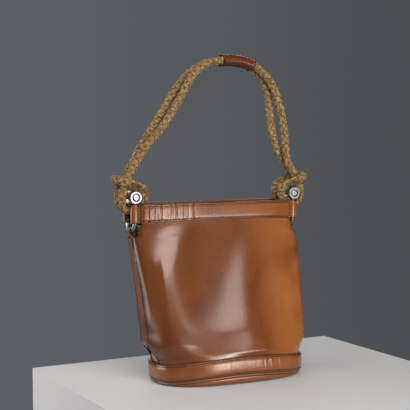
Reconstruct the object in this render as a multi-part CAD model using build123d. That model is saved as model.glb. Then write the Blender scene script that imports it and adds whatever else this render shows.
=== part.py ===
from build123d import *

import os
from math import cos, pi, radians, sin, tan

# Bucket handbag: a leather body with an oval base, a doubled rope handle and two long shackles.
# Millimetres. +Z is up and the front faces -Y. The origin is on the surface that the bag stands
# on, under the middle of the whole object.

# Leather body: height, middle (x, y), half width, half depth, exponent of the oval, half gusset.
SECTIONS = [
    (-3.0, 10.0, 0.0, 103.5, 57.5, 2.6, 17.0),
    (27.0, 10.0, 0.0, 109.0, 58.5, 2.6, 16.0),
    (37.0, 10.0, 0.3, 112.0, 58.5, 2.5, 15.0),
    (47.0, 9.5, 4.0, 118.5, 58.0, 2.7, 14.0),
    (117.0, 8.0, 14.0, 124.0, 44.0, 3.4, 9.5),
    (205.0, 1.5, 24.0, 128.0, 24.5, 4.0, 11.0),
    (219.0, 0.0, 25.0, 128.5, 22.5, 4.0, 12.0),
    (246.0, 0.0, 25.0, 129.0, 21.5, 4.0, 12.0),
]
PANEL_T = 1.6  # body leather
BAND_T = 1.8  # band leather
FACING_T = 1.4
FACING_END_X = 112.0
LINING_T = 0.9
LINING_SIDE = 15.0  # the lining hangs this far inside the gussets
LINING_FACE = 5.0  # and this far inside the front and back
LINING_HEIGHTS = [-3.0, 47.0, 117.0, 205.0, 216.0]
GAP = 0.3  # between layers that are sewn or glued together

BASE_X = 10.0  # middle of the base oval
BASE_EXPONENT = 2.6
BASE_BAND = [(-3.0, 107.0, 60.8), (40.0, 113.5, 61.6)]  # height, half width, half depth
BOTTOM = [(0.0, 101.0, 57.0), (2.0, 105.5, 61.0), (6.0, 107.6, 62.2), (12.0, 107.0, 61.0)]
ARCH_R = 610.0  # the base seams rise towards the middle of the front and back on this radius
BOTTOM_TOP = 10.3  # heights of the base layers where the arch is highest
PIPING_TOP = 14.2
BOARD_TOP = 13.4
INSOLE_TOP = 15.0
BAND_TOP = 38.0
PIPING_W = 4.0

RIM_Y = 25.0  # middle of the rim, shackles and handle
RIM_TOP = 246.0
RIM_LOW = 219.5
PANEL_TOP = 245.6
NOTCHES = [(203.5, 119.0), (217.5, 114.0)]  # above this height the panels stop at this x
BAND_END_X = 119.0

LEG_X = 123.0  # shackle legs, left and right of the middle
LEG_V = 14.0  # shackle legs, in front of and behind RIM_Y
LEG_R = 3.0
BOW_Z = 222.5  # centre of the round bow
PIN_Z = 255.3
BOSS_R = 8.75
BOSS_T = 9.0
PIN_R = 4.0
PIN_FIT = 0.05
HEAD_R = 5.3
HEAD_T = 3.7
COUNTERBORE_R = 5.9
COUNTERBORE_T = 3.2
TUNNEL = (8.0, 4.5)  # half sizes of the leather tunnel round a leg
TUNNEL_R = 3.3
TUNNEL_TOP = 244.8

ROPE_R = 6.0
KNOT_ROPE_R = 4.5  # the rope is pulled thinner in the knots
SWING_Z = 297.0  # the handle folds over here, just above the knots
STUMP_R = 14.1
HOLLOW_R = 14.5
PAIR_V = 6.1  # half distance between the two handle ropes
KNOT_PAIR_V = 4.6

# Knot route from the top to the middle of its collar: outward of the pin, along it, above it.
KNOT_ROUTE = [
    (-12.0, -KNOT_PAIR_V, 58.0),
    (3.0, -KNOT_PAIR_V, 33.0),
    (20.5, -KNOT_PAIR_V, 9.0),
    (17.0, -KNOT_PAIR_V, -17.0),
    (-9.0, -KNOT_PAIR_V, -22.0),
    (-20.5, -KNOT_PAIR_V, -2.0),
    (-17.0, -9.5, 11.0),
    (1.0, -19.5, 16.5),
    (22.0, -12.0, 24.0),
]

# Handle route, middle of the pair: x, z, and how far the front rope leans to +X of it.
HANDLE_ROUTE = [
    (-120.0, 297.0, 0.0),
    (-107.0, 321.0, 1.0),
    (-86.0, 346.0, 4.0),
    (-69.0, 371.0, 5.5),
    (-53.0, 397.0, 5.0),
    (-36.0, 423.0, 2.5),
    (-10.0, 441.0, 0.0),
    (24.0, 446.0, 0.0),
    (50.0, 443.5, 0.0),
    (76.0, 431.0, 0.0),
    (93.0, 408.0, 3.0),
    (100.5, 380.0, 5.5),
    (104.5, 352.0, 7.0),
    (110.0, 324.0, 5.5),
    (120.0, 297.0, 0.0),
]
SLEEVE_X = (12.0, 62.0)  # the sleeve's two ends, on the runs before and after its two bends
SLEEVE_BENDS = (7, 8)  # places in HANDLE_ROUTE
SLEEVE_T = 1.6
SLEEVE_GAP = 0.1
THREAD_T = 0.5
THREAD_W = 0.8
THREAD_GAP = 0.25


def section_at(z):
    """The body section at height z, between the two nearest rows of SECTIONS."""
    for low, high in zip(SECTIONS, SECTIONS[1:]):
        if z <= high[0]:
            share = (z - low[0]) / (high[0] - low[0])
            return tuple(a + share * (b - a) for a, b in zip(low, high))
    return SECTIONS[-1]


def sections_between(low, high):
    inner = [s for s in SECTIONS if low < s[0] < high]
    return [section_at(low)] + inner + [section_at(high)]


def oval_y(x, half_width, half_depth, exponent):
    return half_depth * max(0.0, 1 - abs(x / half_width) ** exponent) ** (1 / exponent)


def closed_face(points):
    return make_face(Spline(*points, periodic=True))


def oval_face(z, cx, cy, half_width, half_depth, exponent, count=16):
    """A full oval, for pieces that go all the way round."""
    points = []
    for k in range(count):
        turn = 2 * pi * (k + 0.5) / count
        c, s = cos(turn), sin(turn)
        x = half_width * abs(c) ** (2 / exponent) * (1 if c > 0 else -1)
        y = half_depth * abs(s) ** (2 / exponent) * (1 if s > 0 else -1)
        points.append((cx + x, cy + y, z))
    return closed_face(points)


def strip_face(section, side, inset, thickness, end_x=None):
    """One wall of the body, seen from above: side -1 is the front and +1 the back."""
    z, cx, cy, half_width, half_depth, exponent, seam = section
    curves = []
    for depth in (inset, inset + thickness):
        a, b = half_width - depth, half_depth - depth
        end = end_x if end_x else a * (1 - (seam / b) ** exponent) ** (1 / exponent)
        xs = [end * sin(pi / 2 * k / 3) for k in range(-3, 4)]
        curves.append([(cx + x, cy + side * oval_y(x, a, b, exponent), z) for x in xs])
    outer, inner = curves
    edges = [
        Spline(*outer),
        Line(outer[-1], inner[-1]),
        Spline(*reversed(inner)),
        Line(inner[0], outer[0]),
    ]
    return make_face(edges)


def wall(side, low, high, inset, thickness, end_x=None):
    faces = [strip_face(s, side, inset, thickness, end_x) for s in sections_between(low, high)]
    return loft(faces, ruled=True)


def base_ring(low, high, inset, thickness):
    """A wall round the whole base, between two arched heights."""
    def tube(depth):
        faces = [
            oval_face(z, BASE_X, 0, a - depth, b - depth, BASE_EXPONENT)
            for z, a, b in BASE_BAND
        ]
        return loft(faces, ruled=True)

    return between_arches(tube(inset) - tube(inset + thickness), low, high)


def arch(top):
    """Everything under the arched height, as a round log that lies along Y."""
    return Pos(BASE_X, 0, top - ARCH_R) * Rot(90, 0, 0) * Cylinder(ARCH_R, 400)


def between_arches(shape, low, high):
    return (shape & arch(high)) - arch(low)


def along_y(radius, y_from, y_to, x, z):
    length = abs(y_to - y_from)
    return Pos(x, (y_from + y_to) / 2, z) * Rot(90, 0, 0) * Cylinder(radius, length)


def swing_log(radius):
    return Pos(0, RIM_Y, SWING_Z) * Rot(0, 90, 0) * Cylinder(radius, 400)


def body_panel(side):
    panel = wall(side, -3.0, PANEL_TOP, 0, PANEL_T) - arch(PIPING_TOP + GAP)
    size = 60.0
    for z, x in NOTCHES:
        for way in (-1, 1):
            panel -= Pos(way * (x + size / 2), RIM_Y, z + size / 2) * Box(size, size, size)
    return panel


def gusset(side):
    """The narrow side wall, with its top folded round the shackle's bow."""
    recess = 2.5
    top = 203.5
    faces = []
    for z, cx, cy, a, b, n, seam in sections_between(-3.0, top):
        corner = a * (1 - (seam / b) ** n) ** (1 / n) - PANEL_T - GAP
        half = seam - 0.4
        rows = []
        for depth in (0, PANEL_T):
            edge = cx + side * (corner - depth)
            middle = cx + side * (corner - depth - recess)
            rows.append([(edge, cy - half, z), (middle, cy, z), (edge, cy + half, z)])
        outer, inner = rows
        faces.append(make_face([
            Spline(*outer),
            Line(outer[-1], inner[-1]),
            Spline(*reversed(inner)),
            Line(inner[0], outer[0]),
        ]))
    strip = loft(faces, ruled=True) - arch(PIPING_TOP + GAP)
    loop_r, loop_half = 5.8, 6.5
    bow_low = BOW_Z - LEG_V
    loop = along_y(loop_r, RIM_Y - loop_half, RIM_Y + loop_half, side * LEG_X, bow_low)
    return strip + loop - shackle_wire(side, LEG_R + 0.15)


def shackle_wire(side, radius):
    x = side * LEG_X
    front, back = RIM_Y - LEG_V, RIM_Y + LEG_V
    path = Wire([
        Line((x, front, PIN_Z), (x, front, BOW_Z)).edge(),
        ThreePointArc((x, front, BOW_Z), (x, RIM_Y, BOW_Z - LEG_V), (x, back, BOW_Z)).edge(),
        Line((x, back, BOW_Z), (x, back, PIN_Z)).edge(),
    ])
    return sweep(Pos(x, front, PIN_Z) * Circle(radius), path=path)


def shackle(side):
    x = side * LEG_X
    inner_v = LEG_V - LEG_R
    body = shackle_wire(side, LEG_R)
    neck_h = 7.0
    for way in (-1, 1):
        boss = along_y(BOSS_R, RIM_Y + way * inner_v, RIM_Y + way * (inner_v + BOSS_T), x, PIN_Z)
        boss = chamfer(boss.edges(), 0.8)
        neck = Pos(x, RIM_Y + way * LEG_V, PIN_Z - 3 - neck_h / 2) * Cone(LEG_R, 6.0, neck_h)
        neck &= Pos(x, RIM_Y + way * (inner_v + 10), PIN_Z) * Box(20, 20, 60)
        body += boss + neck
    face_y = RIM_Y - inner_v - BOSS_T
    body -= along_y(PIN_R + PIN_FIT, RIM_Y - 40, RIM_Y + 40, x, PIN_Z)
    body -= along_y(COUNTERBORE_R, face_y - 5, face_y + COUNTERBORE_T, x, PIN_Z)
    return body


def pin(side):
    """Plain shaft with a domed head in the front ear and a screwdriver slot behind."""
    x = side * LEG_X
    face_y = RIM_Y - LEG_V + LEG_R - BOSS_T
    head_back = face_y + COUNTERBORE_T - GAP
    head = along_y(HEAD_R, head_back - HEAD_T, head_back, x, PIN_Z)
    head = fillet(head.edges().sort_by(Axis.Y)[0], 2.4)
    tail_y = RIM_Y + LEG_V - LEG_R + BOSS_T + 0.8
    shaft = along_y(PIN_R, head_back, tail_y, x, PIN_Z)
    slot = Pos(x, tail_y, PIN_Z) * Box(1.2, 2.4, 20)
    return head + shaft - slot


def rim_band(side):
    """Doubled band along the rim, whose two ends are sewn round the shackle's legs."""
    band = wall(side, RIM_LOW, RIM_TOP, -GAP - BAND_T, BAND_T, BAND_END_X)
    height = TUNNEL_TOP - RIM_LOW
    for x in (-1, 1):
        place = Pos(x * LEG_X, RIM_Y + side * LEG_V, RIM_LOW)
        band += place * extrude(Ellipse(*TUNNEL), height)
    for x in (-1, 1):
        place = Pos(x * LEG_X, RIM_Y + side * LEG_V, RIM_LOW - 1)
        band -= place * extrude(Circle(TUNNEL_R), height + 5)
    return band


def corner_radii(points):
    """The largest arcs that the runs on each side of every corner leave room for."""
    radii = []
    for before, here, after in zip(points, points[1:], points[2:]):
        a, b = Vector(*here) - Vector(*before), Vector(*after) - Vector(*here)
        half_turn = radians(a.get_angle(b)) / 2
        radii.append(0.45 * min(a.length, b.length) / tan(half_turn))
    return radii


def rope(name, points, radius):
    radii = corner_radii(points)
    path = FilletPolyline(*points, radius=radii).wire()
    tube = sweep(Plane(origin=path @ 0, z_dir=path % 0) * Circle(radius), path=path)
    expected = pi * radius**2 * path.length
    print(name, "length", round(path.length, 1), "volume share", round(tube.volume / expected, 4))
    print("   radii", [round(r, 1) for r in radii])
    return tube


def knot(side):
    name = "left_knot" if side < 0 else "right_knot"
    half = [(side * (LEG_X + o), RIM_Y + v, PIN_Z + w) for o, v, w in KNOT_ROUTE]
    other = [(x, 2 * RIM_Y - y, z) for x, y, z in reversed(half)]
    tube = rope(name, half + other, KNOT_ROPE_R)
    above = Pos(0, RIM_Y, SWING_Z + 50) * Box(400, 200, 100)
    return tube - (above - swing_log(STUMP_R))


def handle_points(way):
    return [(x - way * lean, RIM_Y + way * PAIR_V, z) for x, z, lean in HANDLE_ROUTE]


def handle_rope(way):
    name = "rope_front" if way < 0 else "rope_back"
    return rope(name, handle_points(way), ROPE_R) - swing_log(HOLLOW_R)


def sleeve_path():
    """The stretch of the handle's route that the sleeve covers, with the same arcs."""
    points = [(x, RIM_Y, z) for x, z, _ in HANDLE_ROUTE]
    radii = corner_radii(points)
    first, last = SLEEVE_BENDS
    ends = []
    for x, a, b in ((SLEEVE_X[0], first - 1, first), (SLEEVE_X[1], last, last + 1)):
        share = (x - points[a][0]) / (points[b][0] - points[a][0])
        ends.append((x, RIM_Y, points[a][2] + share * (points[b][2] - points[a][2])))
    bends = [radii[first - 1], radii[last - 1]]
    return FilletPolyline(ends[0], points[first], points[last], ends[1], radius=bends).wire()


def sweep_sleeve(profile):
    path = sleeve_path()
    start = Plane(origin=path @ 0, x_dir=(0, 1, 0), z_dir=path % 0)
    return sweep(start * profile, path=path)


def handle_sleeve():
    inner_w = 2 * (PAIR_V + ROPE_R + SLEEVE_GAP)
    inner_h = 2 * (ROPE_R + SLEEVE_GAP)
    outer = sweep_sleeve(SlotOverall(inner_w + 2 * SLEEVE_T, inner_h + 2 * SLEEVE_T))
    return outer - sweep_sleeve(SlotOverall(inner_w, inner_h))


def sleeve_thread():
    """The sewing that closes the sleeve, along its underside."""
    drop = ROPE_R + SLEEVE_GAP + SLEEVE_T + 0.05 + THREAD_T / 2
    return sweep_sleeve(Pos(0, -drop) * Rectangle(THREAD_W, THREAD_T))


def rim_thread(side):
    """Two rows of sewing along the band."""
    rows = []
    for z in (RIM_LOW + 1.6, RIM_TOP - 2.4):
        outside = -GAP - BAND_T - THREAD_GAP - THREAD_T
        rows.append(wall(side, z, z + THREAD_W, outside, THREAD_T, FACING_END_X))
    return rows


def bottom_panel():
    shape = loft([oval_face(z, BASE_X, 0, a, b, 2.4) for z, a, b in BOTTOM], ruled=True)
    return shape & arch(BOTTOM_TOP)


def base_plate(low, high, inset):
    """A thin sheet that lies inside the base and follows its arch."""
    z, half_width, half_depth = BASE_BAND[0]
    outline = oval_face(z, BASE_X, 0, half_width - inset, half_depth - inset, BASE_EXPONENT)
    return between_arches(extrude(outline, 30), low, high)


def lining():
    """One fabric tube inside the leather, from the insole to under the rim facings."""
    def tube(depth):
        faces = []
        for height in LINING_HEIGHTS:
            z, cx, cy, a, b, n, _ = section_at(height)
            faces.append(oval_face(z, cx, cy, a - LINING_SIDE - depth, b - LINING_FACE - depth, n))
        return loft(faces, ruled=True)

    return tube(0) - tube(LINING_T) - arch(INSOLE_TOP + GAP)


nodes = {
    "front_panel": body_panel(-1),
    "back_panel": body_panel(1),
    "left_gusset": gusset(-1),
    "right_gusset": gusset(1),
    "bottom_panel": bottom_panel(),
    "base_piping": base_ring(BOTTOM_TOP + GAP, PIPING_TOP, -1.2, PIPING_W),
    "base_board": base_plate(BOTTOM_TOP + GAP, BOARD_TOP, 4.0),
    "insole": base_plate(BOARD_TOP + GAP, INSOLE_TOP, 11.0),
    "base_band": base_ring(PIPING_TOP + GAP, BAND_TOP, 0, BAND_T),
    "lining": lining(),
    "rim_band_front": rim_band(-1),
    "rim_band_back": rim_band(1),
    "rim_facing_front": wall(-1, RIM_LOW, PANEL_TOP, PANEL_T + GAP, FACING_T, FACING_END_X),
    "rim_facing_back": wall(1, RIM_LOW, PANEL_TOP, PANEL_T + GAP, FACING_T, FACING_END_X),
    "rim_thread_front": rim_thread(-1),
    "rim_thread_back": rim_thread(1),
    "left_shackle": shackle(-1),
    "right_shackle": shackle(1),
    "left_pin": pin(-1),
    "right_pin": pin(1),
    "left_knot": knot(-1),
    "right_knot": knot(1),
    "rope_front": handle_rope(-1),
    "rope_back": handle_rope(1),
    "handle_sleeve": handle_sleeve(),
    "sleeve_thread": sleeve_thread(),
}

os.makedirs("parts", exist_ok=True)
for node, shape in nodes.items():
    solids = shape if isinstance(shape, list) else [shape]
    export_step(Compound([s for piece in solids for s in piece.solids()]), f"parts/{node}.step")
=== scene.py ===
from math import pi, radians

import bmesh
import bpy
import numpy as np
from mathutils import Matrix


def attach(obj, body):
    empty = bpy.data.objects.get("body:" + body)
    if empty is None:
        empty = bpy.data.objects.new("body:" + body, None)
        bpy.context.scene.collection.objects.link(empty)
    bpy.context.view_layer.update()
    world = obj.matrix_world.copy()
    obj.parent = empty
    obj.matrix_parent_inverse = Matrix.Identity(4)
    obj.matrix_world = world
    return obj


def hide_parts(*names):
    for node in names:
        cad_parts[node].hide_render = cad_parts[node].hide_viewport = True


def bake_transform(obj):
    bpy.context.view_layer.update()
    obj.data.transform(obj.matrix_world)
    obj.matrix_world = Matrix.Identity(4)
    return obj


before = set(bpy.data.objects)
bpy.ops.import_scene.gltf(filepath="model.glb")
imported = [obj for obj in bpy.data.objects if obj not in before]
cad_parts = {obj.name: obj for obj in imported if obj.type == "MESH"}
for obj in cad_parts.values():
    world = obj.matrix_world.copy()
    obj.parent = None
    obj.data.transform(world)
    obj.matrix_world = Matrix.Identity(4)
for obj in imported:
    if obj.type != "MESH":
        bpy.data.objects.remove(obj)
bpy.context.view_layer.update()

# Leather bucket handbag. Lengths are in millimetres until make() turns them into metres.
# +Z is up and the front faces -Y.

MM = 0.001
rng = np.random.default_rng(7)

# Leather body: height, middle (x, y), half width, half depth, exponent of the oval, half gusset.
SECTIONS = np.array([
    (-3.0, 10.0, 0.0, 103.5, 57.5, 2.6, 17.0),
    (27.0, 10.0, 0.0, 109.0, 58.5, 2.6, 16.0),
    (37.0, 10.0, 0.3, 112.0, 58.5, 2.5, 15.0),
    (47.0, 9.5, 4.0, 118.5, 58.0, 2.7, 14.0),
    (75.0, 9.0, 8.0, 122.0, 53.5, 3.0, 12.0),
    (117.0, 8.0, 14.0, 124.0, 44.0, 3.4, 9.5),
    (162.0, 5.5, 19.5, 126.5, 33.0, 3.8, 9.5),
    (205.0, 1.5, 24.0, 128.0, 24.5, 4.0, 11.0),
    (219.0, 0.0, 25.0, 128.5, 22.5, 4.0, 12.0),
    (246.0, 0.0, 25.0, 129.0, 21.5, 4.0, 12.0),
])
PANEL_T = 1.6  # body leather
BAND_T = 1.8  # band leather
FACING_T = 1.4
GUSSET_T = 1.2
LINING_T = 0.9
GAP = 0.3  # between layers that are sewn or glued together
LINING_SIDE = 15.0  # the lining hangs this far inside the gussets
LINING_FACE = 5.0  # and this far inside the front and back
STITCH_IN = 2.6  # from a band's edge to its stitches

BASE_X = 10.0  # middle of the base oval
BASE_EXPONENT = 2.6
BASE_BAND = ((-3.0, 107.0, 60.8), (40.0, 113.5, 61.6))  # height, half width, half depth
ARCH_R = 610.0  # the base seams rise towards the middle of the front and back on this radius
BOTTOM_TOP = 10.3
PIPING_TOP = 14.2
INSOLE_TOP = 15.0
BAND_TOP = 38.0
BASE_TILT = 2.4  # the base band's lower edge stands out by this much

RIM_Y = 25.0  # middle of the rim, shackles and handle
RIM_TOP = 246.0
RIM_LOW = 219.5
PANEL_TOP = 245.6
LEG_X = 123.0  # shackle legs, left and right of the middle
LEG_V = 14.0  # shackle legs, in front of and behind RIM_Y
BOW_Z = 222.5  # centre of the round bow
PIN_Z = 255.3

SWING_Z = 297.0  # the handle folds over here, just above the knots
PAIR_V = 6.1  # half distance between the two handle ropes
KNOT_PAIR_V = 4.6
EYE_REACH = 8.9  # the shackle eyes round the pin, with a little air
TUNNEL_REACH = 8.2  # half width of the leather tunnels round the legs
TUNNEL_TOP = 245.0
BETWEEN_EYES = 9.2  # half of the room that the knot has between the eyes
SLEEVE_X = (12.0, 62.0)  # the sleeve's two ends
SLEEVE_T = 1.6
SLEEVE_HALF = (13.7, 7.7)  # half sizes of its section, across and up

# Knot route from the top to the middle of its collar: outward of the pin, along it, above it.
KNOT_ROUTE = [
    (-6.0, -5.4, 48.5),
    (3.0, -5.6, 33.0),
    (16.0, -8.4, 9.0),
    (16.0, -KNOT_PAIR_V, -17.0),
    (-9.0, -KNOT_PAIR_V, -22.0),
    (-16.5, -8.0, -2.0),
    (-15.5, -10.5, 11.0),
    (1.0, -19.5, 16.5),
    (22.0, -12.0, 24.0),
]

# Handle route, middle of the pair: x, z, and how far the front rope leans to +X of it.
HANDLE_ROUTE = [
    (-107.0, 321.0, 1.0),
    (-86.0, 346.0, 4.0),
    (-69.0, 371.0, 5.5),
    (-53.0, 397.0, 5.0),
    (-36.0, 423.0, 2.5),
    (-10.0, 441.0, 0.0),
    (24.0, 446.0, 0.0),
    (50.0, 443.5, 0.0),
    (76.0, 431.0, 0.0),
    (93.0, 408.0, 3.0),
    (100.5, 380.0, 5.5),
    (104.5, 352.0, 7.0),
    (110.0, 324.0, 5.5),
]


# ---------------------------------------------------------------- meshes

class Shape:
    """Collects grids of points into one mesh."""

    def __init__(self):
        self.points, self.faces, self.kinds = [], [], []
        self.edges, self.tones, self.fibres = [], [], []
        self.count = 0

    def grid(self, points, wrap_rows=False, caps=False, kind=0, edge=0.0, tone=0.3, fibre=None):
        """Closed rows of points joined into faces. caps fills the first and last row."""
        rows, columns = points.shape[:2]
        index = self.count + np.arange(rows * columns).reshape(rows, columns)
        if wrap_rows:
            index = np.vstack([index, index[:1]])
        index = np.hstack([index, index[:, :1]])
        quads = np.stack([index[:-1, :-1], index[:-1, 1:], index[1:, 1:], index[1:, :-1]], -1)
        self.faces.append(quads.reshape(-1, 4))
        if caps:
            k = np.arange(columns // 2 - 1)
            for row in (index[0], index[-1]):
                pairs = [row[k], row[k + 1], row[columns - 2 - k], row[columns - 1 - k]]
                self.faces.append(np.stack(pairs, -1))
        added = sum(len(f) for f in self.faces) - len(self.kinds)
        self.kinds.extend([kind] * added)
        self.points.append(points.reshape(-1, 3))
        self.edges.append(np.broadcast_to(edge, (rows, columns)).reshape(-1))
        self.tones.append(np.broadcast_to(tone, (rows, columns)).reshape(-1))
        fibre = points if fibre is None else fibre
        self.fibres.append(np.asarray(fibre, float).reshape(-1, 3))
        self.count += rows * columns

    def make(self, name, materials, stands_for=(), body="bag"):
        """The finished piece, in metres, riding on its body."""
        points = np.concatenate(self.points) * MM
        mesh = bpy.data.meshes.new(name)
        mesh.from_pydata(points.tolist(), [], np.concatenate(self.faces).tolist())
        for attribute, kind, values in (
            ("edge", "FLOAT", np.concatenate(self.edges)),
            ("tone", "FLOAT", np.concatenate(self.tones)),
            ("fibre", "FLOAT_VECTOR", np.concatenate(self.fibres)),
        ):
            layer = mesh.attributes.new(attribute, kind, "POINT")
            key = "value" if kind == "FLOAT" else "vector"
            layer.data.foreach_set(key, values.astype(np.float32).reshape(-1))
        mesh.polygons.foreach_set("material_index", self.kinds)
        mesh.polygons.foreach_set("use_smooth", [True] * len(self.kinds))
        for material in materials:
            mesh.materials.append(material)
        form = bmesh.new()
        form.from_mesh(mesh)
        bmesh.ops.recalc_face_normals(form, faces=form.faces)
        form.to_mesh(mesh)
        form.free()
        piece = bpy.data.objects.new(name, mesh)
        bpy.context.collection.objects.link(piece)
        if body:
            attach(piece, body)
        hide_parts(*stands_for)
        return piece


def unit(vectors):
    return vectors / np.maximum(np.linalg.norm(vectors, axis=-1, keepdims=True), 1e-9)


def smooth_rows(table, at):
    """Rows of the table between its first column's values, on a smooth curve."""
    keys, values = table[:, 0], table[:, 1:]
    slopes = np.gradient(values, keys, axis=0)
    at = np.atleast_1d(at)
    k = np.clip(np.searchsorted(keys, at) - 1, 0, len(keys) - 2)
    span = (keys[k + 1] - keys[k])[:, None]
    t = np.clip((at - keys[k])[:, None] / span, 0, 1)
    low, high = values[k], values[k + 1]
    rise, fall = slopes[k] * span, slopes[k + 1] * span
    return (
        low * (1 + 2 * t) * (1 - t) ** 2 + rise * t * (1 - t) ** 2
        + high * t * t * (3 - 2 * t) + fall * t * t * (t - 1)
    )


def bump(x, middle, left, right):
    """1 at the middle, falling smoothly over its own distance on each side."""
    width = np.where(x < middle, left, right)
    return np.exp(-(((x - middle) / width) ** 2))


def along(points, step, closed=False):
    """The same line in equal steps."""
    line = np.vstack([points, points[:1]]) if closed else points
    run = np.concatenate([[0], np.cumsum(np.linalg.norm(np.diff(line, axis=0), axis=1))])
    count = max(2, int(round(run[-1] / step)))
    at = np.linspace(0, run[-1], count + (0 if closed else 1), endpoint=not closed)
    return np.stack([np.interp(at, run, line[:, k]) for k in range(line.shape[1])], -1)


def nurbs(points, closed=False):
    """Points along the smooth curve that a route's points control."""
    curve = bpy.data.curves.new("route", "CURVE")
    curve.dimensions = "3D"
    curve.resolution_u = 24
    spline = curve.splines.new("NURBS")
    spline.points.add(len(points) - 1)
    for place, point in zip(spline.points, points):
        place.co = (*point, 1)
    spline.use_cyclic_u = closed
    spline.order_u = 3
    spline.use_endpoint_u = not closed
    holder = bpy.data.objects.new("route", curve)
    mesh = bpy.data.meshes.new_from_object(holder)
    found = np.array([v.co for v in mesh.vertices])
    bpy.data.objects.remove(holder)
    bpy.data.meshes.remove(mesh)
    bpy.data.curves.remove(curve)
    return found


def ring(count, power=2.0):
    """Unit circle, or superellipse, of points that start and end beside +X."""
    turn = 2 * pi * (np.arange(count) + 0.5) / count
    c, s = np.cos(turn), np.sin(turn)
    return np.stack([np.sign(c) * abs(c) ** (2 / power), np.sign(s) * abs(s) ** (2 / power)], -1)


def frames(path, closed):
    """Two cross directions at each point, turning as little as they can."""
    ahead = np.roll(path, -1, 0) - np.roll(path, 1, 0)
    if not closed:
        ahead = np.gradient(path, axis=0)
    ahead = unit(ahead)
    cross = [unit(np.cross(ahead[0], (0.3, 1, 0.2)))]
    for direction in ahead[1:]:
        last = cross[-1]
        cross.append(unit(last - direction * (last @ direction)))
    cross = np.array(cross)
    side = np.cross(ahead, cross)
    if closed:
        last = unit(cross[-1] - ahead[0] * (cross[-1] @ ahead[0]))
        off = np.arctan2(last @ side[0], last @ cross[0])
        back = -off * np.arange(len(path)) / len(path)
        c, s = np.cos(back)[:, None], np.sin(back)[:, None]
        cross, side = cross * c + side * s, side * c - cross * s
    return cross, side


def tube(path, radius, count=8, closed=False):
    """Rows of a round tube; radius may be one number or one for each point."""
    cross, side = frames(path, closed)
    circle = ring(count)
    radius = np.broadcast_to(radius, len(path))[:, None, None]
    around = circle[None, :, :1] * cross[:, None] + circle[None, :, 1:] * side[:, None]
    return path[:, None] + radius * around


def stitches(shape, line, outward, pitch=4.2, length=3.4, width=0.75, slant=0.16, closed=False, kind=0):
    """Separate stitches along a line on a surface, each with its ends sunk in."""
    both = along(np.hstack([line, outward]), pitch, closed)
    places, out = both[:, :3], unit(both[:, 3:])
    if closed:
        ahead = unit(np.roll(places, -1, 0) - np.roll(places, 1, 0))
    else:
        ahead = unit(np.gradient(places, axis=0))
    across = np.cross(ahead, out)
    ahead = unit(ahead + slant * across)
    across = np.cross(ahead, out)
    circle = ring(6)
    t = np.array([-1.0, -0.8, -0.4, 0.0, 0.4, 0.8, 1.0])
    thick = width * np.sqrt(np.maximum(1 - t**2, 0.02))
    rise = 0.28 - 0.55 * t**2
    for k in range(len(places)):
        middle = places[k] + t[:, None] * length / 2 * ahead[k] + rise[:, None] * out[k]
        rows = middle[:, None] + thick[:, None, None] * (
            circle[None, :, :1] * across[k] + 0.8 * circle[None, :, 1:] * out[k]
        )
        shape.grid(rows, caps=True, kind=kind)


# ---------------------------------------------------------------- body

def oval(x, half_width, half_depth, exponent):
    inside = np.maximum(1 - np.abs(x / half_width) ** exponent, 0)
    return half_depth * inside ** (1 / exponent)


def front_relief(x, z):
    """The soft ridge down the front, the hollow on its right and the slack near the rim."""
    crest = np.interp(z, [40, 57, 69, 105, 137, 168, 200], [48, 36, 31, 33, 38, 41, 46])
    left = np.interp(z, [50, 62, 87, 126, 165, 200], [62, 56, 42, 34, 24, 20])
    height = np.interp(z, [38, 46, 60, 90, 130, 170, 205], [4.6, 5.8, 6.2, 6.0, 4.4, 2.0, 0.0])
    ridge = height * bump(x, crest, left, 15.0)
    hollow = 4.2 * bump(x, 66.0, 24, 30) * bump(z, 105.0, 42, 48)
    peak = 128.0 + 1.5 * np.clip(x + 99, 0, 60)
    shoulder = 6.0 * bump(x, -92.0, 28, 44) * bump(z - peak, 0.0, 110, 45)
    brow = 1.6 * bump(x, 92.0, 26, 20) * bump(z, 150.0, 50, 40)
    return ridge - hollow + shoulder + brow


def back_relief(x, z):
    """A broad soft fold down the back, with slack on both sides."""
    fold = 3.2 * bump(x, -28.0 + 0.15 * (z - 120), 20, 44) * bump(z, 105.0, 45, 55)
    hollow = 3.0 * bump(x, 46.0, 30, 26) * bump(z, 120.0, 48, 50)
    return fold - hollow


def relief(side, x, z):
    """How far the wall stands out of its oval, none near its seams, base band and rim band."""
    amount = front_relief(x, z) if side < 0 else back_relief(x, z)
    ends = np.clip((114 - np.abs(x - 5)) / 17, 0, 1)
    rise = np.clip((z - 35) / 9, 0, 1) * np.clip((222 - z) / 22, 0, 1)
    return amount * ends * rise


def flatness(x, z):
    """Share of the way from the oval to a flat front, on the left, where the leather is stretched."""
    corner = np.clip((109 + x) / 17, 0, 1)
    return np.interp(z, [38, 58, 150, 215], [0.0, 0.25, 0.2, 0.0]) * corner * corner * (3 - 2 * corner)


def wall_rows(side, heights, inset, x_low, x_high, columns=91):
    """Points of one wall: x_low and x_high are its ends at each height."""
    cx, cy, a, b, n, _ = (v[:, None] for v in smooth_rows(SECTIONS, heights).T)
    share = np.sin(np.linspace(-pi / 2, pi / 2, columns))[None]
    x = (x_low + x_high)[:, None] / 2 + share * (x_high - x_low)[:, None] / 2
    z = np.broadcast_to(np.asarray(heights, float)[:, None], x.shape)
    out = oval(x - cx, a - inset, b - inset, n)
    if side < 0:
        out = out + flatness(x, z) * np.where(x < cx, b - inset - out, 0.0)
    y = cy + side * (out + relief(side, x, z))
    return np.stack([x, y, z], -1)


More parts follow.
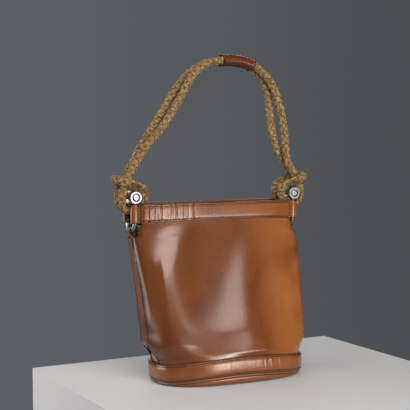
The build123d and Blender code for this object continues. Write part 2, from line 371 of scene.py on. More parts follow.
def seam_ends(heights, inset=0.0):
    """Left and right x of the seams, cut back beside the shackles."""
    cx, cy, a, b, n, seam = smooth_rows(SECTIONS, heights).T
    reach = (a - inset) * (1 - (seam / (b - inset)) ** n) ** (1 / n)
    limit = np.interp(heights, [190, 203, 215, 218.5], [140, 119.0, 118.5, 114.0])
    return np.maximum(cx - reach, -limit), np.minimum(cx + reach, limit)


def panel(side):
    shape = Shape()
    heights = np.concatenate([
        np.arange(20, 60, 2.0), np.arange(60, 196, 3.5), np.linspace(196, PANEL_TOP, 26)
    ])
    low, high = seam_ends(heights)
    outer = wall_rows(side, heights, 0.0, low, high)
    inner = wall_rows(side, heights, PANEL_T, low + 0.5, high - 0.5)
    rows = np.concatenate([outer, inner[:, ::-1]], axis=1)
    spread = np.minimum(outer[..., 0] - low[:, None], high[:, None] - outer[..., 0])
    edge_darkening = 0.7 * np.exp(-((spread / 4) ** 2))
    # The front is darker on its left and middle and lighter towards its right; the back is even.
    tone = 0.95 - 0.9 * np.clip((rows[..., 0] - 25) / 70, 0, 1) if side < 0 else 0.4
    shape.grid(rows, caps=True, edge=np.concatenate([edge_darkening, edge_darkening[:, ::-1]], axis=1), tone=tone)
    bead = 1.0 if side < 0 else 0.55
    for end in (0, -1):
        middle = (outer[:, end] + inner[:, end]) / 2
        line = middle[(heights > 22) & (heights < 203)]
        shape.grid(tube(along(line, 3), bead), caps=True, kind=1, edge=1.0)
    name = "front_panel" if side < 0 else "back_panel"
    return shape.make(name + "_leather", [body_leather, edge_paint], [name])


def gusset(side):
    """Narrow concave side wall whose top is folded round the shackle's bow and glued down inside."""
    turn_count, tail_count = 26, 6
    fold_count = turn_count + tail_count
    fold_half = 6.6
    heights = np.concatenate([np.arange(20, 60, 2.5), np.arange(60, 198, 4.0), [198.0, 200.5]])
    cx, cy, a, b, n, seam = smooth_rows(SECTIONS, heights).T
    corner = a * (1 - (seam / b) ** n) ** (1 / n) - PANEL_T - GAP
    half = seam + 1.4
    taper = np.clip((heights - 182) / 19, 0, 1)
    half = half * (1 - taper) + fold_half * taper
    x = cx + side * (corner - 0.8)
    hollow = 2.4 * (1 - taper)
    bow_z, radius = BOW_Z - LEG_V, 5.1
    turn = radians(1) * np.linspace(-78, 205, turn_count)
    round_x = side * (LEG_X + radius * np.cos(turn))
    round_z = bow_z + radius * np.sin(turn)
    tail_z = np.linspace(203, 186, tail_count)
    path_x = np.concatenate([x, round_x, np.full(tail_count, side * (LEG_X - radius + 0.2))])
    path_z = np.concatenate([heights, round_z, tail_z])
    path_x[-tail_count:] -= side * np.linspace(0.3, 1.8, tail_count)
    path_y = np.concatenate([cy, np.full(fold_count, RIM_Y)])
    path_y[:len(cy)] = cy + (RIM_Y - cy) * taper
    halves = np.concatenate([half, np.full(fold_count, fold_half)])
    depth = np.concatenate([hollow, np.zeros(fold_count)])
    step = unit(np.stack([np.gradient(path_x), np.gradient(path_z)], -1))
    out_x, out_z = step[:, 1] * side, -step[:, 0] * side
    across = np.linspace(-1, 1, 15)
    layers = []
    for deep in (0.0, GUSSET_T):
        push = -deep - depth[:, None] * (1 - across[None] ** 2) ** 0.8
        px = path_x[:, None] + side * push * np.abs(out_x)[:, None] * np.sign(out_x)[:, None]
        pz = path_z[:, None] + push * out_z[:, None]
        py = path_y[:, None] + halves[:, None] * across[None]
        layers.append(np.stack([px, py, pz], -1))
    rows = np.concatenate([layers[0], layers[1][:, ::-1]], axis=1)
    edge_darkening = np.broadcast_to(np.abs(across)[None] ** 6, layers[0].shape[:2])
    shape = Shape()
    shape.grid(rows, caps=True, edge=np.concatenate([edge_darkening, edge_darkening[:, ::-1]], axis=1))
    name = "left_gusset" if side < 0 else "right_gusset"
    return shape.make(name + "_leather", [body_leather], [name])


# ---------------------------------------------------------------- bands

def band_profile(height, crown, thickness, stitch_in, count=26):
    """A band's section: offsets outward and heights, up the outside and down the inside."""
    h = height * (0.5 - 0.5 * np.cos(pi * np.arange(count) / (count - 1)))
    d = np.minimum(h, height - h)
    out = crown * (1 - np.abs(2 * h / height - 1) ** 3)
    out = out - 0.75 * np.exp(-((d / 0.7) ** 2)) - 0.45 * np.exp(-(((d - stitch_in) / 0.9) ** 2))
    inside = -thickness + 0.5 * np.exp(-((d / 0.6) ** 2))
    return np.concatenate([out, inside[::-1]]), np.concatenate([h, h[::-1]]) / height


def creases(x, share, low, high, count, depth):
    """Depth of the shallow upright wrinkles between two places along a band."""
    sunk = np.zeros(np.broadcast(x, share).shape)
    for middle in rng.uniform(low, high, count):
        lean, width, cut = rng.normal(0, 1.0), rng.uniform(0.5, 1.2), rng.uniform(0.3, 1.0)
        sunk += depth * cut * np.exp(-(((x - middle - lean * (share - 0.5)) / width) ** 2))
    return sunk


def plan_normals(path):
    step = unit(np.gradient(path, axis=0))
    return np.stack([step[:, 1], -step[:, 0]], -1)


def rim_front(x, offset):
    """Y of the front of the rim, and of lines parallel to it outside."""
    half_width, half_depth, exponent = SECTIONS[-1, 3:6]
    return RIM_Y - oval(x, half_width + offset, half_depth + offset, exponent)


def rim_path(offset):
    """The front band seen from above: round the left leg, along the rim, round the right leg."""
    x = np.linspace(-111.5, 111.5, 120)
    y = rim_front(x, offset)
    turn = radians(1) * np.linspace(-48, -305, 34)
    leg = np.stack([-LEG_X + 5.6 * np.cos(turn), RIM_Y - LEG_V + 4.3 * np.sin(turn)], -1)
    valley = np.array([(-114.2, rim_front(-114.2, offset) + 0.7), (-117.2, 9.6)])
    tail = np.array([(-116.5, 13.4), (-113.0, 11.6), (-110.0, 10.6)])
    left = np.concatenate([valley, leg, tail])[::-1]
    right = left[::-1] * (-1, 1)
    whole = np.concatenate([left, np.stack([x, y], -1), right])
    return along(whole, 0.7)


def rim_heights(x):
    share = np.clip(1 - (x / 119) ** 2, 0, 1)
    return RIM_LOW - 0.2 + 2.2 * share, RIM_TOP - 1.2 + 1.0 * share


def flip(side, points):
    """Front pieces as they are, back pieces mirrored about the rim's middle."""
    if side < 0:
        return points
    return points * (1, -1, 1) + (0, 2 * RIM_Y, 0)


def rim_band(side):
    path = rim_path(GAP + BAND_T / 2)
    out = plan_normals(path)
    low, high = rim_heights(path[:, 0])
    offset, share = band_profile(RIM_TOP - RIM_LOW, 0.55, 1.0, STITCH_IN)
    thin = np.clip((np.abs(path[:, 0]) - 112) / 4, 0, 1)[:, None]
    push = offset[None] * (1 - 0.35 * thin) + 0.35
    outer = np.arange(len(offset)) < len(offset) // 2
    push = push - creases(path[:, :1], share[None], -108, -38, 26, 0.3) * outer * (1 - thin)
    plan = path[:, None] + out[:, None] * push[..., None]
    z = low[:, None] + share[None] * (high - low)[:, None]
    rows = np.concatenate([plan, z[..., None]], -1)
    # Darker towards the top and bottom edges: dark edge paint, and painted shade where the band meets the
    # wall.
    edge_darkening = np.exp(-((np.minimum(share, 1 - share) / 0.055) ** 2))
    shape = Shape()
    shape.grid(flip(side, rows), caps=True, edge=np.broadcast_to(edge_darkening, z.shape))
    name = "rim_band_front" if side < 0 else "rim_band_back"
    return shape.make(name + "_leather", [band_leather], [name])


def rim_stitches(side):
    path = rim_path(GAP + BAND_T / 2)
    path = path[np.abs(path[:, 0]) < 111.0]
    path = path[path[:, 1] < 9.0]
    out = np.hstack([plan_normals(path), np.zeros((len(path), 1))])
    low, high = rim_heights(path[:, 0])
    shape = Shape()
    for z in (low + STITCH_IN, high - STITCH_IN):
        line = np.concatenate([path, z[:, None]], -1) + out * 0.25
        stitches(shape, flip(side, line), flip(side, line + out) - flip(side, line))
    for end in (-1, 1):
        line = np.linspace((end * 115.4, 7.55, RIM_LOW + 4), (end * 115.4, 7.55, RIM_TOP - 5), 12)
        outward = np.tile([0.0, -1.0, 0.0], (12, 1))
        stitches(shape, flip(side, line), flip(side, line + outward) - flip(side, line))
    name = "rim_thread_front" if side < 0 else "rim_thread_back"
    return shape.make(name + "_stitches", [thread], [name])


def rim_facing(side):
    """The strap sewn inside the rim, seen through the mouth."""
    top = PANEL_TOP - 0.3
    heights = np.linspace(RIM_LOW, top, 14)
    ends = np.full(2, 112.0)
    d = np.minimum(heights - RIM_LOW, top - heights)
    inset = PANEL_T + GAP + 0.4 * np.exp(-((d / 1.2) ** 2))
    deep = PANEL_T + GAP + FACING_T
    outer = np.stack([wall_rows(side, [h, h + 1], i, -ends, ends, 70)[0] for h, i in zip(heights, inset)])
    inner = np.stack([wall_rows(side, [h, h + 1], deep, -ends, ends, 70)[0] for h in heights])
    rows = np.concatenate([outer, inner[:, ::-1]], axis=1)
    shape = Shape()
    shape.grid(rows, caps=True)
    for z in (RIM_LOW + STITCH_IN, RIM_TOP - 3.4):
        line = wall_rows(side, [z, z + 1], deep, -ends, ends, 160)[0]
        inward = np.tile([0.0, -side, 0.0], (160, 1))
        stitches(shape, line, inward, kind=1)
    name = "rim_facing_front" if side < 0 else "rim_facing_back"
    return shape.make(name + "_leather", [facing_leather, thread], [name])


# ---------------------------------------------------------------- base

TURNS = 640  # points round the base


def arch(top, x):
    """Height of a base seam, which rises towards the middle of the front and back."""
    return top - (x - BASE_X) ** 2 / (2 * ARCH_R)


def base_loop(top, out, shrink=1.0):
    """A closed line round the base at an arched height, out from the band's own outline."""
    unit_ring = ring(TURNS, BASE_EXPONENT)
    (low_z, low_a, low_b), (high_z, high_a, high_b) = BASE_BAND
    z = np.full(TURNS, float(top))
    for _ in range(3):
        share = (z - low_z) / (high_z - low_z)
        a = low_a + share * (high_a - low_a) + out
        b = low_b + share * (high_b - low_b) + out
        x = BASE_X + shrink * a * unit_ring[:, 0]
        z = arch(top, x)
    return np.stack([x, shrink * b * unit_ring[:, 1], z], -1)


def base_band():
    count = 22
    outside = np.arange(2 * count) < count
    offset, share = band_profile(BAND_TOP - PIPING_TOP, 1.1, BAND_T, 2.5, count)
    offset = offset + BASE_TILT * (1 - share) * outside
    low, high = PIPING_TOP + GAP, BAND_TOP
    rows = np.stack([base_loop(low + s * (high - low), o) for o, s in zip(offset, share)], axis=1)
    front = outside[None] * (rows[..., 1] < 0)
    rows[..., 1] += creases(rows[..., 0], share[None], -22, 84, 34, 0.3) * front
    # Darker towards both edges: dark edge paint, and painted shade where the band meets the wall and the
    # piping.
    edge_darkening = np.exp(-((np.minimum(share, 1 - share) / 0.06) ** 2))
    shape = Shape()
    shape.grid(rows, wrap_rows=True, edge=np.broadcast_to(edge_darkening, rows.shape[:2]))
    return shape.make("base_band_leather", [band_leather], ["base_band"])


def base_stitches():
    shape = Shape()
    for top in (BAND_TOP - 2.5, PIPING_TOP + GAP + 2.5):
        line = base_loop(top, 0.15 + BASE_TILT * (BAND_TOP - top) / (BAND_TOP - PIPING_TOP))
        step = np.roll(line, -1, 0) - np.roll(line, 1, 0)
        outward = np.cross(unit(step), (0, 0, 1))
        even = along(np.hstack([line, outward]), 1.0, closed=True)
        stitches(shape, even[:, :3], even[:, 3:], closed=True)
    return shape.make("base_band_stitches", [thread])


def base_piping():
    """A covered cord in the bottom seam, with the dark turned edge above it."""
    shape = Shape()
    cord = along(base_loop(BOTTOM_TOP + 2.2, 0.35), 2.0, closed=True)
    shape.grid(tube(cord, 1.45, 10, closed=True), wrap_rows=True)
    dark = along(base_loop(BOTTOM_TOP + 0.5, -0.4), 3.0, closed=True)
    shape.grid(tube(dark, 0.6, 8, closed=True), wrap_rows=True, kind=1, edge=1.0)
    turned = along(base_loop(PIPING_TOP + 0.1, 0.6), 3.0, closed=True)
    shape.grid(tube(turned, 0.7, 8, closed=True), wrap_rows=True, kind=1, edge=1.0)
    return shape.make("base_piping_leather", [base_leather, edge_paint], ["base_piping"])


def bottom_panel():
    """Domed bottom: its edge curves in below the piping and its middle rests on the ground."""
    rows = [base_loop(BOTTOM_TOP - 0.6, -3.0, scale) for scale in (0.05, 0.4, 0.8, 0.97)]
    top = base_loop(BOTTOM_TOP, 0.0)
    rows.append(base_loop(BOTTOM_TOP, -0.9))
    for drop, scale in (
        (0.10, 1.000), (0.28, 1.002), (0.48, 0.998), (0.66, 0.986), (0.82, 0.962), (0.93, 0.925),
        (0.985, 0.875), (1.0, 0.80), (1.0, 0.6), (1.0, 0.3), (1.0, 0.04),
    ):
        edge = top[:, 2] * (1 - drop)
        shrink = scale - 0.008
        x = BASE_X + (top[:, 0] - BASE_X) * shrink
        rows.append(np.stack([x, top[:, 1] * shrink, edge + 0.02], -1))
    shape = Shape()
    shape.grid(np.stack(rows), caps=True)
    return shape.make("bottom_leather", [base_leather], ["bottom_panel"])


def insole():
    """Suede-covered sheet on the bag's floor, a little wavy."""
    rows = []
    for scale, lift in (
        (0.05, 0), (0.3, 0), (0.6, 0), (0.85, 0), (0.97, 0),
        (1.0, -0.4), (0.99, -1.2), (0.5, -1.3), (0.05, -1.3),
    ):
        loop = base_loop(INSOLE_TOP, -10.2, scale)
        wave = 0.35 * np.sin(loop[:, 0] / 17) * np.sin(loop[:, 1] / 11)
        loop[:, 2] += lift + (wave if lift > -0.2 else 0)
        rows.append(loop)
    shape = Shape()
    shape.grid(np.stack(rows), caps=True)
    return shape.make("insole_suede", [lining_suede], ["insole"])


def lining():
    """One soft tube of suede cloth inside the leather, with gentle folds."""
    heights = np.concatenate([np.arange(17, 60, 3.0), np.arange(60, 214, 5.0), [215.7]])
    around_count = 200
    layers = []
    for depth in (0.0, LINING_T):
        rows = []
        for z, (cx, cy, a, b, n, _) in zip(heights, smooth_rows(SECTIONS, heights)):
            around = ring(around_count, n)
            x = cx + (a - LINING_SIDE - depth) * around[:, 0]
            y = cy + (b - LINING_FACE - depth) * around[:, 1]
            height = np.full(around_count, z)
            front = relief(-1, x, height) * (around[:, 1] < 0)
            back = relief(1, x, height) * (around[:, 1] > 0)
            calm = np.clip((215 - z) / 40, 0, 1)
            fold = calm * (0.5 + 0.5 * np.sin(x / 9 + z / 31)) * 0.9
            inwards = np.abs(around[:, 1]) ** 0.5
            y = y - front + back - np.sign(around[:, 1]) * fold * inwards
            rows.append(np.stack([x, y, np.maximum(height, arch(INSOLE_TOP + GAP, x))], -1))
        layers.append(np.stack(rows))
    shape = Shape()
    shape.grid(np.concatenate([layers[0], layers[1][::-1]]), wrap_rows=True)
    return shape.make("lining_suede_tube", [lining_suede], ["lining"])


# ---------------------------------------------------------------- rope and sleeve

STRANDS = 3  # each way round
STEP = 1.2  # between points of the rope's line
PITCH = 30.0  # length in which a strand goes round once
YARN_LAY = 12.0  # length in which a strand's own yarns go round once
STRAND_REACH = 3.35  # from the rope's middle to the strands' middles
WEAVE = 1.0  # how far the strands go over and under
STRAND_HALF = (3.4, 1.7)  # half width and half thickness of a strand
CORE_R = 2.6


def rope_route():
    """The rope's whole closed line: front of the handle, right knot, back of the handle, left knot."""
    def knot_half(side, way):
        return [(side * (LEG_X + o), RIM_Y - way * v, PIN_Z + w) for o, v, w in KNOT_ROUTE]

    front = [(x + lean, RIM_Y - PAIR_V, z) for x, z, lean in HANDLE_ROUTE]
    back = [(x - lean, RIM_Y + PAIR_V, z) for x, z, lean in reversed(HANDLE_ROUTE)]
    right = knot_half(1, -1) + list(reversed(knot_half(1, 1)))
    left = knot_half(-1, 1) + list(reversed(knot_half(-1, -1)))
    line = nurbs(front + right + back + left, closed=True)
    line = along(line, STEP, closed=True)
    rising = np.where((line[:, 2] < SWING_Z) & (np.roll(line[:, 2], -1) >= SWING_Z) & (line[:, 0] < 0))[0][0]
    return np.roll(line, -rising - 1, axis=0)


def rope_size(line):
    """Share of its full thickness: thin between the rim's tunnels, thick round the pins."""
    return np.interp(line[:, 2], [240, 250, 256, 264, 272, 300], [0.78, 1.0, 1.13, 1.12, 1.05, 1.0])


def squeezed(points):
    """The knots are pressed flat between the shackle eyes and between the leather tunnels below them."""
    across = np.abs(np.abs(points[..., 0]) - LEG_X)
    eye = np.hypot(across, points[..., 2] - PIN_Z) - EYE_REACH
    tunnel = np.maximum(across - TUNNEL_REACH, points[..., 2] - TUNNEL_TOP)
    room = BETWEEN_EYES + np.maximum(np.minimum(eye, tunnel), 0)
    points = points.copy()
    points[..., 1] = RIM_Y + np.clip(points[..., 1] - RIM_Y, -room, room)
    return points


def braid(line):
    """Rows of each strand of the whole rope, with how deep each point lies (for its painted shade) and its
    fibre direction.
    """
    count = len(line)
    cross, side = frames(line, True)
    turns = round(count * STEP / PITCH)
    s = np.arange(count) / count
    size = rope_size(line)
    weave = np.cos(2 * pi * STRANDS * turns * s)
    ring_points = ring(10, 2.3)
    strands = []
    for way in (1, -1):
        for k in range(STRANDS):
            turn = way * 2 * pi * turns * s + 2 * pi * k / STRANDS
            radial = np.cos(turn)[:, None] * cross + np.sin(turn)[:, None] * side
            reach = (STRAND_REACH + way * WEAVE * weave) * size
            middle = line + reach[:, None] * radial
            run = unit(np.roll(middle, -1, 0) - np.roll(middle, 1, 0))
            wide = unit(np.cross(run, radial))
            out = np.cross(wide, run)
            half_wide, half_thick = STRAND_HALF[0] * size, STRAND_HALF[1] * size
            rows = middle[:, None] + (
                half_wide[:, None, None] * ring_points[None, :, :1] * wide[:, None]
                + half_thick[:, None, None] * ring_points[None, :, 1:] * out[:, None]
            )
            # Painted shade: darker where the strand runs under the others and towards its sides.
            sunk = (0.5 - 0.5 * way * weave)[:, None] ** 1.5 * 0.8 + 0.45 * ring_points[None, :, 0] ** 4
            run_on = (np.arange(count) * STEP)[:, None]
            around = np.arctan2(ring_points[:, 1], ring_points[:, 0])[None] - 2 * pi * run_on / YARN_LAY
            length = np.broadcast_to(run_on * 0.09 + 7 * k + 31 * (way > 0), around.shape)
            fibre = np.stack([np.cos(around), np.sin(around), length], -1)
            strands.append((squeezed(rows), np.clip(sunk, 0, 1), fibre, out))
    return strands


def fuzz(shape, strands, low, high, count):
    """Loose fibres that stand off the rope."""
    for _ in range(count):
        rows, _, _, out = strands[rng.integers(len(strands))]
        k = int(rng.integers(low, high - 6))
        root = rows[k].mean(0)
        if root[2] > 400 and SLEEVE_X[0] - 6 < root[0] < SLEEVE_X[1] + 6:
            continue
        ahead = unit(rows[k + 1].mean(0) - root) * rng.choice((-1, 1))
        sway = unit(np.cross(ahead, out[k])) * rng.normal(0, 0.5)
        length = rng.uniform(2.5, 7.0)
        t = np.linspace(0, 1, 5)[:, None]
        lift = rng.uniform(0.25, 0.75)
        straight = t * unit(ahead + lift * out[k] + sway)
        bent = t**2 * (0.25 * out[k] - 0.2 * ahead) * rng.uniform(-0.6, 1)
        path = root + out[k] + length * (straight + bent)
        thick = 0.075 * (1.15 - t[:, 0])
        shape.grid(squeezed(tube(path, thick, 4)), caps=True, edge=0.0,
                   fibre=np.broadcast_to((0.3, 0.3, length * 9), (5, 4, 3)))


def rope_pieces():
    """The braid in four pieces, parted at the swing line."""
    line = rope_route()
    strands = braid(line)
    above = line[:, 2] >= SWING_Z
    cuts = np.where(above != np.roll(above, 1))[0]
    starts = sorted(set([0, *cuts.tolist()]))
    ends = starts[1:] + [len(line)]
    names = ("rope_front", "right_knot", "rope_back", "left_knot")
    core = squeezed(tube(line, CORE_R * rope_size(line), 10, closed=True))
    for name, low, high in zip(names, starts, ends):
        picks = np.arange(low, high + 1) % len(line)
        shape = Shape()
        for rows, sunk, fibre, _ in strands:
            shape.grid(rows[picks], caps=True, edge=sunk[picks], fibre=fibre[picks])
        # The core, at full painted shade where it shows between the strands.
        shape.grid(core[picks], caps=True, edge=1.0, fibre=core[picks] * 0.3)
        fuzz(shape, strands, low, high, int((high - low) * 1.6))
        piece = shape.make(name + "_braid", [hemp], [name], body=None)
        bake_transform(piece)


def sleeve_line():
    middle = nurbs([(x, RIM_Y, z) for x, z, _ in HANDLE_ROUTE])
    kept = middle[(middle[:, 0] >= SLEEVE_X[0]) & (middle[:, 0] <= SLEEVE_X[1]) & (middle[:, 2] > 400)]
    return along(kept, 0.8)


def sleeve():
    """Leather wrapped round both ropes and sewn underneath, with its ends flared and edges dark."""
    line = sleeve_line()
    ahead = unit(np.gradient(line, axis=0))
    up = np.cross(ahead, (0, 1, 0)) * (-1, -1, -1)
    up = up * np.sign(up[:, 2:])
    s = np.linspace(0, 1, len(line))
    ends = np.exp(-((s / 0.035) ** 2)) + np.exp(-(((1 - s) / 0.035) ** 2))
    waves = 0.22 * np.sin(s * 19 + 1) + 0.16 * np.sin(s * 41)
    ring_points = ring(64, 2.35)
    layers = []
    for deep in (0.0, SLEEVE_T):
        pinch = 0.55 * np.exp(-((ring_points[:, 0] / 0.22) ** 2))[None] * (ring_points[:, 1] > 0)[None]
        flare = ends if deep == 0 else -0.6 * ends
        wide = (SLEEVE_HALF[0] - deep + 0.5 * flare)[:, None] * ring_points[None, :, 0]
        high = (SLEEVE_HALF[1] - deep + 0.6 * flare + 0.35 * waves)[:, None] * ring_points[None, :, 1] - pinch
        rows = line[:, None] + wide[..., None] * np.array([0, 1, 0]) + high[..., None] * up[:, None]
        layers.append(rows)
    rows = np.concatenate([layers[0], layers[1][::-1]])
    edge_darkening = np.exp(-((s / 0.02) ** 2)) + np.exp(-(((1 - s) / 0.02) ** 2))
    edge_darkening = np.broadcast_to(np.concatenate([edge_darkening, edge_darkening * 0 + 0.4])[:, None], rows.shape[:2])
    shape = Shape()
    shape.grid(rows, wrap_rows=True, edge=np.clip(edge_darkening, 0, 1))
    shape.make("handle_sleeve_leather", [sleeve_leather], ["handle_sleeve"], body="handle")

    sewing = Shape()
    for shift in (-1.6, 1.6):
        under = line - up * 7.75 + np.array([0, shift, 0])
        stitches(sewing, under[3:-3], -up[3:-3], pitch=4.0)
    ridge = line - up * 7.6
    sewing.grid(tube(ridge[2:-2], 0.5, 6), caps=True)
    sewing.make("sleeve_stitches", [thread], ["sleeve_thread"], body="handle")


# ---------------------------------------------------------------- materials

class Nodes:
    """A material's node tree, with short calls for the nodes that the finishes share."""

    def __init__(self, name, **constants):
        self.material = bpy.data.materials.new(name)
        self.material.use_nodes = True
        self.tree = self.material.node_tree
        self.shader = self.tree.nodes["Principled BSDF"]
        for socket, value in constants.items():
            self.shader.inputs[socket.replace("_", " ")].default_value = value
        self.place = self.add("ShaderNodeTexCoord").outputs["Object"]

    def add(self, kind, **settings):
        node = self.tree.nodes.new(kind)
        for key, value in settings.items():
            setattr(node, key, value)
        return node

    def link(self, source, target):
        self.tree.links.new(source, target)

    def noise(self, scale, detail, stretch=(1, 1, 1), source=None, distortion=0.0):
        mapping = self.add("ShaderNodeMapping")
        mapping.inputs["Scale"].default_value = stretch
        self.link(source or self.place, mapping.inputs["Vector"])
        node = self.add("ShaderNodeTexNoise")
        node.inputs["Scale"].default_value = scale
        node.inputs["Detail"].default_value = detail
        node.inputs["Distortion"].default_value = distortion
        self.link(mapping.outputs["Vector"], node.inputs["Vector"])
        return node.outputs["Fac"]

    def cells(self, scale):
        node = self.add("ShaderNodeTexVoronoi")
        node.inputs["Scale"].default_value = scale
        self.link(self.place, node.inputs["Vector"])
        return node.outputs["Distance"]

    def attribute(self, name, output="Fac"):
        return self.add("ShaderNodeAttribute", attribute_name=name).outputs[output]

    def ramp(self, source, low, high, start=0.0, stop=1.0):
        """The source from low to high, running over start to stop."""
        node = self.add("ShaderNodeMapRange", interpolation_type="SMOOTHSTEP")
        for socket, value in (("From Min", low), ("From Max", high), ("To Min", start), ("To Max", stop)):
            node.inputs[socket].default_value = value
        self.link(source, node.inputs["Value"])
        return node.outputs["Result"]

    def times(self, a, b):
        node = self.add("ShaderNodeMath", operation="MULTIPLY")
        for socket, value in zip(node.inputs, (a, b)):
            if isinstance(value, (int, float)):
                socket.default_value = value
            else:
                self.link(value, socket)
        return node.outputs["Value"]

    def mix(self, share, a, b):
        """Colours a and b, mixed; each is a socket or an (r, g, b)."""
        node = self.add("ShaderNodeMix", data_type="RGBA")
        self.link(share, node.inputs["Factor"])
        for socket, value in (("A", a), ("B", b)):
            target = [i for i in node.inputs if i.name == socket and i.type == "RGBA"][0]
            if isinstance(value, tuple):
                target.default_value = (*value, 1)
            else:
                self.link(value, target)
        return [o for o in node.outputs if o.type == "RGBA"][0]

    def colour(self, source):
        self.link(source, self.shader.inputs["Base Color"])

    def rough(self, source):
        self.link(source, self.shader.inputs["Roughness"])

    def relief(self, *layers):
        """Bumps, each as (height, depth in metres)."""
        last = None
        for height, depth in layers:
            node = self.add("ShaderNodeBump")
            node.inputs["Strength"].default_value = 1.0
            node.inputs["Distance"].default_value = depth
            self.link(height, node.inputs["Height"])
            if last:
                self.link(last, node.inputs["Normal"])
            last = node.outputs["Normal"]
        self.link(last, self.shader.inputs["Normal"])


def leather(name, light, middle, dark, rough=0.24, coat=0.7, creases=0.0):
    """Smooth waxed cowhide: cloudy colour, pores, fine wrinkles, darker edges (worn, and on the bands also
    painted shade where they meet the wall) and painted shade in the creases.
    """
    n = Nodes(
        name, Coat_Weight=coat, Coat_Roughness=0.21, Specular_IOR_Level=0.2, Specular_Tint=(1, 0.6, 0.32, 1)
    )
    clouds = n.noise(11, 3, distortion=0.6)
    spots = n.noise(42, 5, distortion=0.4)
    grain = n.noise(900, 3)
    pores = n.cells(620)
    wrinkles = n.noise(240, 6, stretch=(1, 1, 0.6), distortion=0.8)
    colour = n.mix(n.ramp(clouds, 0.3, 0.6, 0.25, 1.0), dark, light)
    colour = n.mix(n.ramp(spots, 0.35, 0.7, 0.0, 0.45), colour, middle)
    shade = tuple(0.3 * channel for channel in dark)
    colour = n.mix(n.times(n.attribute("tone"), 0.75), colour, dark)
    colour = n.mix(n.times(n.ramp(grain, 0.3, 0.75), 0.12), colour, shade)
    # Darker towards the edges: wear, and on the bands also painted shade where they meet the wall.
    colour = n.mix(n.times(n.attribute("edge"), 0.8), colour, shade)
    layers = [(wrinkles, 0.0003), (pores, 0.00005), (grain, 0.00004)]
    if creases:
        folds = n.noise(1.0, 4, stretch=(420, 420, 26), distortion=0.3)
        where = n.ramp(n.noise(16, 2), 0.42, 0.62)
        layers.insert(0, (n.times(folds, where), creases))
        # Painted shade in the creases.
        colour = n.mix(n.times(n.times(n.ramp(folds, 0.52, 0.72), where), 0.35), colour, shade)
    n.colour(colour)
    n.rough(n.ramp(spots, 0.3, 0.75, rough - 0.06, rough + 0.1))
    n.relief(*layers)
    return n.material


def paint():
    """Dark burnished edge of the cut leather."""
    n = Nodes("edge_paint", Specular_IOR_Level=0.4)
    fine = n.noise(260, 4)
    n.colour(n.mix(fine, (0.008, 0.005, 0.004), (0.03, 0.014, 0.008)))
    n.rough(n.ramp(fine, 0.3, 0.7, 0.35, 0.6))
    n.relief((fine, 0.00015))
    return n.material


def suede():
    n = Nodes("lining_suede", Sheen_Weight=0.5, Sheen_Roughness=0.5)
    nap = n.noise(340, 5)
    brushed = n.noise(22, 3, distortion=1.5)
    n.colour(n.mix(n.ramp(brushed, 0.35, 0.65), (0.16, 0.088, 0.045), (0.27, 0.165, 0.09)))
    n.rough(n.ramp(nap, 0.3, 0.7, 0.8, 1.0))
    n.relief((brushed, 0.0003), (nap, 0.00025))
    return n.material


def steel(name, shade, rough):
    """Polished steel with fine scratches and a few dull patches."""
    n = Nodes(name, Metallic=1.0)
    scratches = n.noise(1.0, 4, stretch=(2600, 2600, 160))
    patches = n.noise(120, 3)
    n.colour(n.mix(n.ramp(patches, 0.35, 0.7), (shade, shade, shade * 0.98), (shade * 0.72,) * 3))
    n.rough(n.ramp(patches, 0.3, 0.75, rough, rough + 0.16))
    n.relief((scratches, 0.00002), (patches, 0.00005))
    return n.material


def hemp_rope():
    """Dry plant fibre, golden on the outside, with painted shade between and under the strands and on the
    core.
    """
    n = Nodes("hemp_rope", Sheen_Weight=0.08, Sheen_Roughness=0.6, Specular_IOR_Level=0.12)
    fibre = n.attribute("fibre", "Vector")
    fine = n.noise(2.6, 6, stretch=(1, 1, 0.6), source=fibre)
    patch = n.noise(55, 3)
    sunk = n.attribute("edge")
    colour = n.mix(n.ramp(fine, 0.36, 0.66), (0.065, 0.03, 0.011), (0.45, 0.29, 0.12))
    colour = n.mix(n.ramp(patch, 0.3, 0.75, 0.0, 0.45), colour, (0.27, 0.14, 0.05))
    # Painted shade where a strand runs under another, at the strands' sides and on the core.
    colour = n.mix(n.ramp(sunk, 0.12, 0.78, 0.0, 0.88), colour, (0.05, 0.024, 0.009))
    n.colour(colour)
    n.rough(n.ramp(fine, 0.3, 0.7, 0.7, 0.95))
    n.relief((fine, 0.0006))
    return n.material


def waxed_thread():
    n = Nodes("waxed_thread", Coat_Weight=0.03, Coat_Roughness=0.4, Specular_IOR_Level=0.12)
    twist = n.noise(1400, 2)
    n.colour(n.mix(twist, (0.008, 0.003, 0.0025), (0.045, 0.014, 0.008)))
    n.rough(n.ramp(twist, 0.3, 0.7, 0.4, 0.65))
    n.relief((twist, 0.0001))
    return n.material


def fibreboard():
    n = Nodes("fibreboard")
    chips = n.noise(240, 6)
    n.colour(n.mix(chips, (0.12, 0.07, 0.035), (0.3, 0.2, 0.11)))
    n.rough(n.ramp(chips, 0.3, 0.7, 0.75, 0.95))
    n.relief((chips, 0.0002))
    return n.material


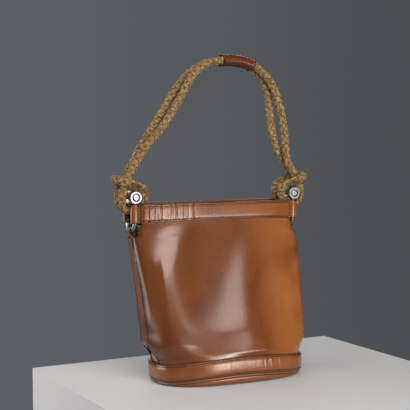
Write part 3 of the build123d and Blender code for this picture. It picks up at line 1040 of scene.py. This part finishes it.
body_leather = leather("body_leather", (0.31, 0.104, 0.027), (0.235, 0.066, 0.014), (0.085, 0.017, 0.0035))
band_leather = leather(
    "band_leather", (0.27, 0.09, 0.024), (0.2, 0.056, 0.013), (0.11, 0.026, 0.006), creases=0.0009
)
base_leather = leather("base_leather", (0.27, 0.085, 0.026), (0.21, 0.06, 0.017), (0.12, 0.03, 0.009))
facing_leather = leather(
    "facing_leather", (0.24, 0.085, 0.028), (0.19, 0.06, 0.02), (0.12, 0.036, 0.012), rough=0.42, coat=0.15
)
sleeve_leather = leather(
    "sleeve_leather", (0.21, 0.055, 0.016), (0.15, 0.036, 0.01), (0.08, 0.018, 0.006), rough=0.26, coat=0.5
)
edge_paint = paint()
lining_suede = suede()
shackle_steel = steel("shackle_steel", 0.4, 0.28)
pin_steel = steel("pin_steel", 0.36, 0.3)
hemp = hemp_rope()
thread = waxed_thread()
board = fibreboard()


# ---------------------------------------------------------------- the bag

for way in (-1, 1):
    panel(way)
    gusset(way)
    rim_band(way)
    rim_stitches(way)
    rim_facing(way)
base_band()
base_stitches()
base_piping()
bottom_panel()
insole()
lining()
rope_pieces()
sleeve()

for names, material in (
    (("left_shackle", "right_shackle"), shackle_steel),
    (("left_pin", "right_pin"), pin_steel),
    (("base_board",), board),
):
    for name in names:
        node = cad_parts[name]
        node.data.materials.clear()
        node.data.materials.append(material)
        for slot_holder in node.material_slots:
            slot_holder.material = material


# ---------------------------------------------------------------- stage, light and camera, in metres

def plinth():
    """Pale painted block that the bag stands on."""
    n = Nodes("plinth_paint", Specular_IOR_Level=0.3)
    soft = n.noise(3, 3)
    n.colour(n.mix(soft, (0.62, 0.6, 0.585), (0.68, 0.66, 0.645)))
    n.rough(n.ramp(soft, 0.3, 0.7, 0.55, 0.7))
    corner = np.array([-0.226, 0.159])
    along_x = np.array([0.513, 0.031])
    along_y = np.array([0.030, -0.469])
    plan = [corner, corner + along_x, corner + along_x + along_y, corner + along_y]
    points = [(x, y, z) for z in (-0.6, 0.0) for x, y in plan]
    sides = [(k, (k + 1) % 4, (k + 1) % 4 + 4, k + 4) for k in range(4)]
    mesh = bpy.data.meshes.new("plinth")
    mesh.from_pydata(points, [], [(0, 3, 2, 1), (4, 5, 6, 7), *sides])
    mesh.materials.append(n.material)
    piece = bpy.data.objects.new("plinth", mesh)
    bpy.context.collection.objects.link(piece)


def softbox(name, azimuth, elevation, distance, width, height, power):
    """A soft light aimed at the bag's middle. Azimuth 0 is in front, and positive is to +X."""
    lamp = bpy.data.lights.new(name, "AREA")
    lamp.shape = "RECTANGLE"
    lamp.size, lamp.size_y = width, height
    lamp.energy = power
    holder = bpy.data.objects.new(name, lamp)
    a, e = radians(azimuth), radians(elevation)
    away = np.array([np.sin(a) * np.cos(e), -np.cos(a) * np.cos(e), np.sin(e)])
    target = np.array([0.0, 0.0, 0.17])
    holder.location = target + away * distance
    holder.rotation_euler = (radians(90) - e, 0, a)
    bpy.context.collection.objects.link(holder)


plinth()
softbox("key_low", 13, -6, 2.2, 0.56, 0.62, 14)
softbox("key_high", -6.5, 35, 2.2, 1.95, 0.68, 38)
softbox("key_middle", 19, 12, 2.2, 0.16, 0.46, 2.4)
softbox("low_front", 21, -9.5, 0.8, 0.36, 0.12, 1.5)
softbox("left_wall", -114, 4, 1.4, 0.9, 0.8, 11)
softbox("top", -78, 58, 1.6, 1.0, 1.2, 5)
softbox("fill", 165, 12, 2.5, 1.6, 1.0, 9)

world = bpy.data.worlds.new("grey_studio")
world.use_nodes = True
tree = world.node_tree
sky = {key: tree.nodes.new(kind) for key, kind in (
    ("place", "ShaderNodeTexCoord"), ("split", "ShaderNodeSeparateXYZ"), ("range", "ShaderNodeMapRange"),
    ("mix", "ShaderNodeMix"),
)}
sky["mix"].data_type = "RGBA"
sky["range"].inputs["From Min"].default_value = 0.25
sky["range"].inputs["From Max"].default_value = 0.57
colours = [i for i in sky["mix"].inputs if i.type == "RGBA"]
colours[0].default_value = (0.112, 0.12, 0.132, 1)
colours[1].default_value = (0.072, 0.078, 0.085, 1)
tree.links.new(sky["place"].outputs["Generated"], sky["split"].inputs["Vector"])
tree.links.new(sky["split"].outputs["X"], sky["range"].inputs["Value"])
tree.links.new(sky["range"].outputs["Result"], sky["mix"].inputs["Factor"])
mixed = [o for o in sky["mix"].outputs if o.type == "RGBA"][0]
tree.links.new(mixed, tree.nodes["Background"].inputs["Color"])
bpy.context.scene.world = world
bpy.context.scene.view_settings.view_transform = "Standard"

camera = bpy.data.cameras.new("camera")
camera.lens = 96.85
camera_holder = bpy.data.objects.new("camera", camera)
camera_holder.location = (-0.669, -1.386, 0.355)
camera_holder.rotation_euler = (radians(90 - 4.2), 0, radians(-25))
bpy.context.collection.objects.link(camera_holder)
bpy.context.scene.camera = camera_holder
